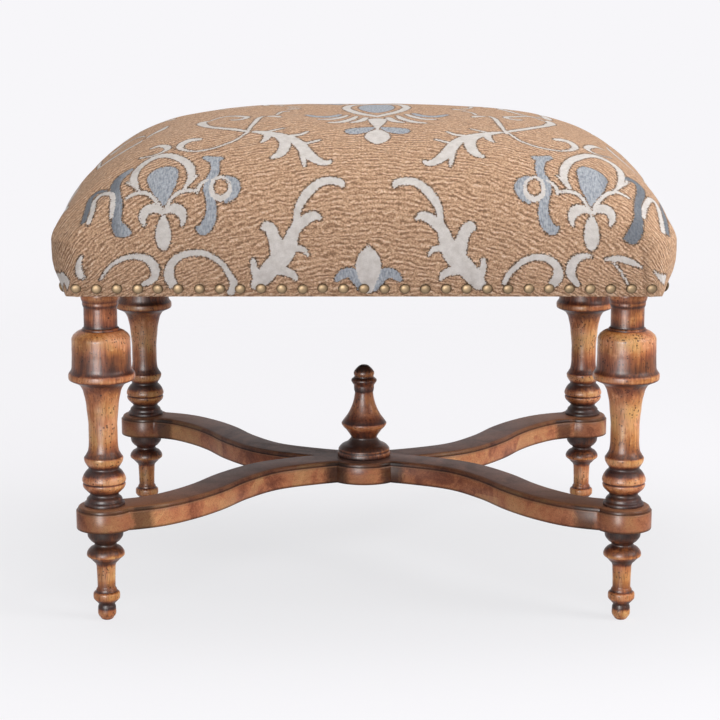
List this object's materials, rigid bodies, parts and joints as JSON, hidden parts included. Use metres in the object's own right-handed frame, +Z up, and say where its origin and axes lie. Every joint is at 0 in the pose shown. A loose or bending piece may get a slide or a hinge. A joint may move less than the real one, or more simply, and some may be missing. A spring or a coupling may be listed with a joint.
{
  "type": "upholstered footstool with turned legs and crossed stretcher",
  "caption": "Padded rectangular footstool on turned legs tied by a crossed serpentine stretcher with a finial.",
  "frame": {"origin": "on the floor under the middle of the seat", "axes": "+Z up, +X to the right along the longer side, the front of the stool faces -Y"},
  "size_m": [0.639, 0.537, 0.524],
  "materials": {
    "leg_wood": "walnut-stained hardwood, glazed dark in the coves and rubbed amber on the rounds, satin lacquer",
    "stretcher_wood": "dark burl-figured walnut, reddish sides, satin lacquer",
    "frame_wood": "planed beech, unfinished",
    "seat_fabric": "tan ribbed jacquard with off-white and blue-grey scrolls",
    "webbing_jute": "woven jute webbing",
    "hessian_jute": "coarse hessian",
    "foam": "open-cell polyurethane foam",
    "wadding": "polyester wadding",
    "dust_cloth": "black non-woven cambric",
    "nail_brass": "antiqued, rubbed bright on the crowns",
    "screw_steel": "zinc plated"
  },
  "bodies": {
    "root": {"leg_front_left": "leg_wood", "leg_front_right": "leg_wood", "leg_back_left": "leg_wood", "leg_back_right": "leg_wood", "foot_front_left": "leg_wood", "foot_front_right": "leg_wood", "foot_back_left": "leg_wood", "foot_back_right": "leg_wood", "stretcher_lower": "stretcher_wood", "stretcher_upper": "stretcher_wood", "finial": "leg_wood", "rail_front": "frame_wood", "rail_back": "frame_wood", "rail_left": "frame_wood", "rail_right": "frame_wood", "corner_block_front_left": "frame_wood", "corner_block_front_right": "frame_wood", "corner_block_back_left": "frame_wood", "corner_block_back_right": "frame_wood", "screw_front_left_1": "screw_steel", "screw_front_left_2": "screw_steel", "screw_front_right_1": "screw_steel", "screw_front_right_2": "screw_steel", "screw_back_left_1": "screw_steel", "screw_back_left_2": "screw_steel", "screw_back_right_1": "screw_steel", "screw_back_right_2": "screw_steel", "webbing_along_1": "webbing_jute", "webbing_along_2": "webbing_jute", "webbing_along_3": "webbing_jute", "webbing_across_1": "webbing_jute", "webbing_across_2": "webbing_jute", "webbing_across_3": "webbing_jute", "webbing_across_4": "webbing_jute", "hessian": "hessian_jute", "foam_core": "foam", "wadding": "wadding", "seat_cover": "seat_fabric", "dust_cover": "dust_cloth", "nails_front": "nail_brass", "nails_right": "nail_brass", "nails_back": "nail_brass", "nails_left": "nail_brass"}
  },
  "joints": []
}
